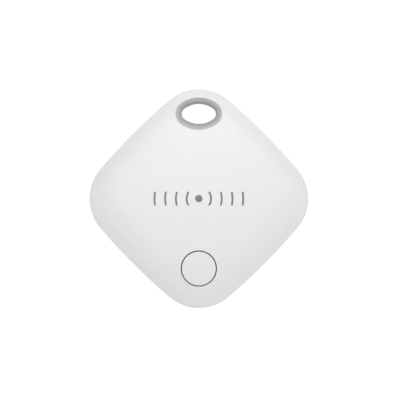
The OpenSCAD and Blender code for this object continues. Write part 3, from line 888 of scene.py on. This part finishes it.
r2 = b.ring(xy, 7.0)
b.strip(r, r2, n3(cn, 0, -1))
r3 = b.ring(xy, 6.75)
b.strip(r2, r3, n3(cn, 1, 0))
b.fan(r3, (0, BUT_Y, 6.75), n3(cn, 0, -1), (0, 0, -1))
button = b.object("button_face", M["button_white"], "button", ("button_cap",))

# ------------------------------------------- membrane: fixed rim, moving pad
b = Build()
prof = [(4.0, 6.45), (4.7, 6.45), (4.7, 6.62), (4.0, 6.62)]
b.lathe((0, BUT_Y), prof)
rim = b.object("membrane_rim", M["silicone"], "housing", ("button_membrane",))
b = Build()
prof = [(1.4, 6.5), (1.6, 6.58), (3.95, 6.58), (3.95, 6.8), (3.3, 6.8), (3.2, 7.0), (1.62, 7.0), (1.62, 6.73)]
loops = []
for r_, z_ in prof:
    xy, cn = circle_loop((0, BUT_Y), r_, 96)
    loops.append(b.ring(xy, z_))
for i in range(len(prof) - 1):
    (r0, z0), (r1, z1) = prof[i], prof[i + 1]
    t = np.array([r1 - r0, z1 - z0]) / math.hypot(r1 - r0, z1 - z0)
    b.strip(loops[i], loops[i + 1], n3(cn, t[1], -t[0]))
b.fan(loops[0], (0, BUT_Y, 6.5), n3(cn, 0, -1), (0, 0, -1))
b.fan(loops[-1], (0, BUT_Y, 6.73), n3(cn, 0, 1), (0, 0, 1))
pad = b.object("membrane_pad", M["silicone"], "button")

# ----------------------------------------------------------- switch dome
b = Build()
apex, rim_z, rr0 = 6.09, 5.83, 1.5
RD = (rr0 ** 2 + (apex - rim_z) ** 2) / (2 * (apex - rim_z))
loops = []
for k in range(1, 13):
    r_ = rr0 * k / 12
    xy, cn = circle_loop((0, BUT_Y), r_, 48)
    loops.append((b.ring(xy, apex - RD + math.sqrt(RD ** 2 - r_ ** 2)), b.ring(xy, apex - RD + math.sqrt(RD ** 2 - r_ ** 2) - 0.055), r_ / RD))
for (a0, u0, s0), (a1, u1, s1) in zip(loops, loops[1:]):
    b.strip(a0, a1, n3(cn, s0, math.sqrt(1 - s0 * s0)), n3(cn, s1, math.sqrt(1 - s1 * s1)))
    b.strip(u0, u1, n3(-cn, s0, -math.sqrt(1 - s0 * s0)), n3(-cn, s1, -math.sqrt(1 - s1 * s1)))
b.fan(loops[0][0], (0, BUT_Y, apex), n3(cn, 0, 1), (0, 0, 1))
b.fan(loops[0][1], (0, BUT_Y, apex - 0.055), n3(cn, 0, -1), (0, 0, -1))
b.strip(loops[-1][0], loops[-1][1], n3(cn, 1, 0))
dome = b.object("dome_spring", M["steel"], "housing", ("switch_dome",))
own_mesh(dome)

# ----------------------------------------------------------- battery door
b = Build()


def door_surface(P):
    return np.full(len(P), 0.1), np.tile((0.0, 0.0, -1.0), (len(P), 1))


door_holes = [slot_hole(13.0, 1.8, 0.12), round_hole((0, 10.6), 0.35, 0.08, 32)]
FD = 0.2
bx, bn = circle_loop((0, 0), 12.9 - FD, 160)
grid = [circle_loop((0, 0), r_, max(10, int(r_ * 5)))[0] for r_ in np.arange(0.6, 12.5, 0.8)]
edge, hr, _ = skin(b, bx, bn, door_surface, door_holes, np.concatenate(grid), sign=-1.0)
prev, pn = edge, n3(bn, 0, -1)
for k in range(1, 7):
    a = math.pi / 2 * k / 6
    xy, _ = circle_loop((0, 0), 12.9 - FD + FD * math.sin(a), 160)
    nn = n3(bn, math.sin(a), -math.cos(a))
    r = b.ring(xy, 0.1 + FD * (1 - math.cos(a)))
    b.strip(prev, r, pn, nn)
    prev, pn = r, nn
for r_, z_, nr in ((12.9, 1.0, (1, 0)), (12.65, 1.0, (0, 1)), (12.65, 0.6, (-1, 0)), (12.05, 0.6, (0, 1)), (12.05, 1.0, (1, 0)),
                   (11.0, 1.0, (0, 1)), (11.0, 2.4, (1, 0)), (10.3, 2.4, (0, 1)), (10.3, 1.0, (-1, 0))):
    xy, _ = circle_loop((0, 0), r_, 160)
    r = b.ring(xy, z_)
    b.strip(prev, r, n3(bn, nr[0], nr[1]))
    prev = r
b.fan(prev, (0, 0, 1.0), n3(bn, 0, 1), (0, 0, 1))
for i, (ring, xy, nn, top) in enumerate(hr):
    depth = 0.6 if i == 0 else 0.25
    if i == 0:
        low, = flat_region(b, xy, [], depth, False)
    else:
        low = b.ring(xy, depth)
    b.strip(ring, low, n3(-nn, 1, 0))
    if i:
        b.fan(low, (0, 10.6, depth), n3(nn, 0, -1), (0, 0, -1))
for k in range(3):
    a0 = math.radians(90 + 120 * k - 12)
    cols = []
    for j in range(9):
        a = a0 + math.radians(24) * j / 8
        c_, s_ = math.cos(a), math.sin(a)
        i = len(b.v)
        b.v += [(10.6 * c_, 10.6 * s_, 1.8), (11.8 * c_, 11.8 * s_, 1.8), (11.8 * c_, 11.8 * s_, 2.4), (10.6 * c_, 10.6 * s_, 2.4)]
        cols.append((i, c_, s_))
    for (i, c0, s0), (j, c1, s1) in zip(cols, cols[1:]):
        dn, up_ = (0, 0, -1), (0, 0, 1)
        b.face([i, i + 1, j + 1, j], [dn] * 4)
        b.face([i + 3, i + 2, j + 2, j + 3], [up_] * 4)
        b.face([i + 1, i + 2, j + 2, j + 1], [(c0, s0, 0), (c0, s0, 0), (c1, s1, 0), (c1, s1, 0)])
        b.face([i, i + 3, j + 3, j], [(-c0, -s0, 0), (-c0, -s0, 0), (-c1, -s1, 0), (-c1, -s1, 0)])
    for (i, c_, s_), sg in ((cols[0], -1), (cols[-1], 1)):
        b.face([i, i + 1, i + 2, i + 3], [(-s_ * sg, c_ * sg, 0)] * 4)
door = b.object("door_disc", M["shell_white"], "door", ("battery_door",))

# ---------------------------------------------------------- printed symbol
b = Build()


def stroke(points, half, z0, z1, caps=10):
    """A flat raised line with round ends along plan points."""
    P = np.array(points)
    t = np.gradient(P, axis=0)
    t /= np.linalg.norm(t, axis=1)[:, None]
    nrm = np.stack([-t[:, 1], t[:, 0]], 1)
    left = P + nrm * half
    right = P - nrm * half
    loop = list(right)
    a0 = math.atan2(-nrm[-1][1], -nrm[-1][0])
    loop += [P[-1] + half * np.array((math.cos(a0 + math.pi * k / caps), math.sin(a0 + math.pi * k / caps))) for k in range(1, caps)]
    loop += list(left[::-1])
    a0 = math.atan2(nrm[0][1], nrm[0][0])
    loop += [P[0] + half * np.array((math.cos(a0 + math.pi * k / caps), math.sin(a0 + math.pi * k / caps))) for k in range(1, caps)]
    loop = np.array(loop)
    m = len(loop)
    nxt, prv = np.roll(loop, -1, 0), np.roll(loop, 1, 0)
    e = nxt - prv
    out = np.stack([e[:, 1], -e[:, 0]], 1)
    out /= np.maximum(np.linalg.norm(out, axis=1), 1e-9)[:, None]
    top = b.ring(loop - out * 0.015, z1)
    low = b.ring(loop, z0)
    b.strip(top, low, n3(out, 0.7, 0.7))
    # fill the top and the underside as ladders between the two sides
    k = len(P)
    for ring_, up_z in ((top, 1), (low, -1)):
        for j in range(k - 1):
            r0, r1 = ring_[j], ring_[j + 1]
            l0, l1 = ring_[k + caps - 1 + (k - 1 - j)], ring_[k + caps - 1 + (k - 2 - j)]
            b.face([r0, r1, l1, l0], [(0, 0, up_z)] * 4)
        end = [ring_[k - 1 + i] for i in range(caps + 1)]
        for i in range(1, len(end) - 1):
            b.face([end[0], end[i], end[i + 1]], [(0, 0, up_z)] * 3)
        st = [ring_[(2 * k + caps - 2 + i) % m] for i in range(caps + 1)]
        for i in range(1, len(st) - 1):
            b.face([st[0], st[i], st[i + 1]], [(0, 0, up_z)] * 3)


for i in range(4):
    R_ = 2.5 + 2.2 * i
    half_h = 1.25
    am = math.asin(half_h / R_)
    for s in (0, 1):
        a = np.linspace(-am, am, 22)
        stroke([(R_ * math.cos(x + math.pi * s), R_ * math.sin(x + math.pi * s)) for x in a], 0.2, T - 0.004, T + 0.022)
xy, cn = circle_loop((0, 0), 0.735, 64)
top = b.ring(xy, T + 0.022)
xy, cn = circle_loop((0, 0), 0.75, 64)
low = b.ring(xy, T - 0.004)
b.strip(top, low, n3(cn, 0.7, 0.7))
b.fan(top, (0, 0, T + 0.022), n3(cn, 0, 1), (0, 0, 1))
b.fan(low, (0, 0, T - 0.004), n3(cn, 0, -1), (0, 0, -1))
symbol = b.object("symbol_print", M["ink"], "housing", ("printed_symbol",))

# ------------------------------------------------------- floor, light, camera
me = bpy.data.meshes.new("floor")
S = 4.0
me.from_pydata([(-S, -S, -0.00004), (S, -S, -0.00004), (S, S, -0.00004), (-S, S, -0.00004)], [], [(0, 1, 2, 3)])
floor = bpy.data.objects.new("floor", me)
bpy.context.scene.collection.objects.link(floor)
fm = bpy.data.materials.new("floor_pale")
fm.use_nodes = True
nt = fm.node_tree
nt.nodes.clear()
fo_, fd = nt.nodes.new("ShaderNodeOutputMaterial"), nt.nodes.new("ShaderNodeBsdfPrincipled")
fd.inputs["Base Color"].default_value = (0.10, 0.10, 0.10, 1)
fd.inputs["Roughness"].default_value = 0.9
fd.inputs["Specular IOR Level"].default_value = 0.1
fd.inputs["Emission Color"].default_value = (1, 1, 1, 1)
FLOOR_GLOW = 0.96
fd.inputs["Emission Strength"].default_value = FLOOR_GLOW
geo, tr, mx = nt.nodes.new("ShaderNodeNewGeometry"), nt.nodes.new("ShaderNodeBsdfTransparent"), nt.nodes.new("ShaderNodeMixShader")
nt.links.new(geo.outputs["Backfacing"], mx.inputs[0])
nt.links.new(fd.outputs[0], mx.inputs[1])
nt.links.new(tr.outputs[0], mx.inputs[2])
nt.links.new(mx.outputs[0], fo_.inputs["Surface"])
fm.cycles.emission_sampling = "NONE"
me.materials.append(fm)

world = bpy.data.worlds.new("studio")
bpy.context.scene.world = world
world.use_nodes = True
world.node_tree.nodes["Background"].inputs[0].default_value = (1, 1, 1, 1)
WORLD = 0.4
world.node_tree.nodes["Background"].inputs[1].default_value = WORLD


def softbox(name, pos, aim, size, power, size_y=None):
    ld = bpy.data.lights.new(name, "AREA")
    ld.shape, ld.size, ld.size_y = "RECTANGLE", size, size_y or size
    ld.energy = power
    lo_ = bpy.data.objects.new(name, ld)
    bpy.context.scene.collection.objects.link(lo_)
    lo_.location = pos
    lo_.rotation_euler = (Vector(aim) - Vector(pos)).to_track_quat("-Z", "Y").to_euler()
    lo_.visible_camera = False
    return lo_


softbox("overhead", (0, 0.022, 0.10), (0, 0, 0.004), 0.05, 0.0225)
softbox("back_right", (0.05, 0.05, 0.14), (0, 0, 0.004), 0.06, 0.0299)
softbox("back_left", (-0.05, 0.05, 0.14), (0, 0, 0.004), 0.06, 0.0233)
softbox("top_edge", (0, 0.05, 0.035), (0, 0.018, 0.005), 0.02, 0.0023)
softbox("side_right", (0.3, 0, 0.12), (0, 0, 0.004), 0.2, 0.1806)
softbox("side_front", (0, -0.3, 0.12), (0, 0, 0.004), 0.2, 0.1908)
softbox("side_left", (-0.3, 0, 0.12), (0, 0, 0.004), 0.2, 0.1418)

cam = bpy.data.cameras.new("camera")
cam.sensor_width = 36
cam.lens = 600.0
cam.clip_start, cam.clip_end = 0.01, 20
co = bpy.data.objects.new("camera", cam)
bpy.context.scene.collection.objects.link(co)
PX = 38.0 / (2 * 92.42)          # mm of object per photograph pixel
DIST = 0.5 * 400 * PX * MM / (18.0 / cam.lens) + 0.0055
co.location = ((199.5 - 198.33) * PX * MM, -(199.5 - 198.17) * PX * MM, DIST)
co.rotation_euler = (0, 0, 0)
bpy.context.scene.camera = co
bpy.context.scene.view_settings.view_transform = "Standard"
bpy.context.scene.view_settings.look = "None"

print("FROM_FRAME", K, A, T, EYE_Y, BUT_Y)
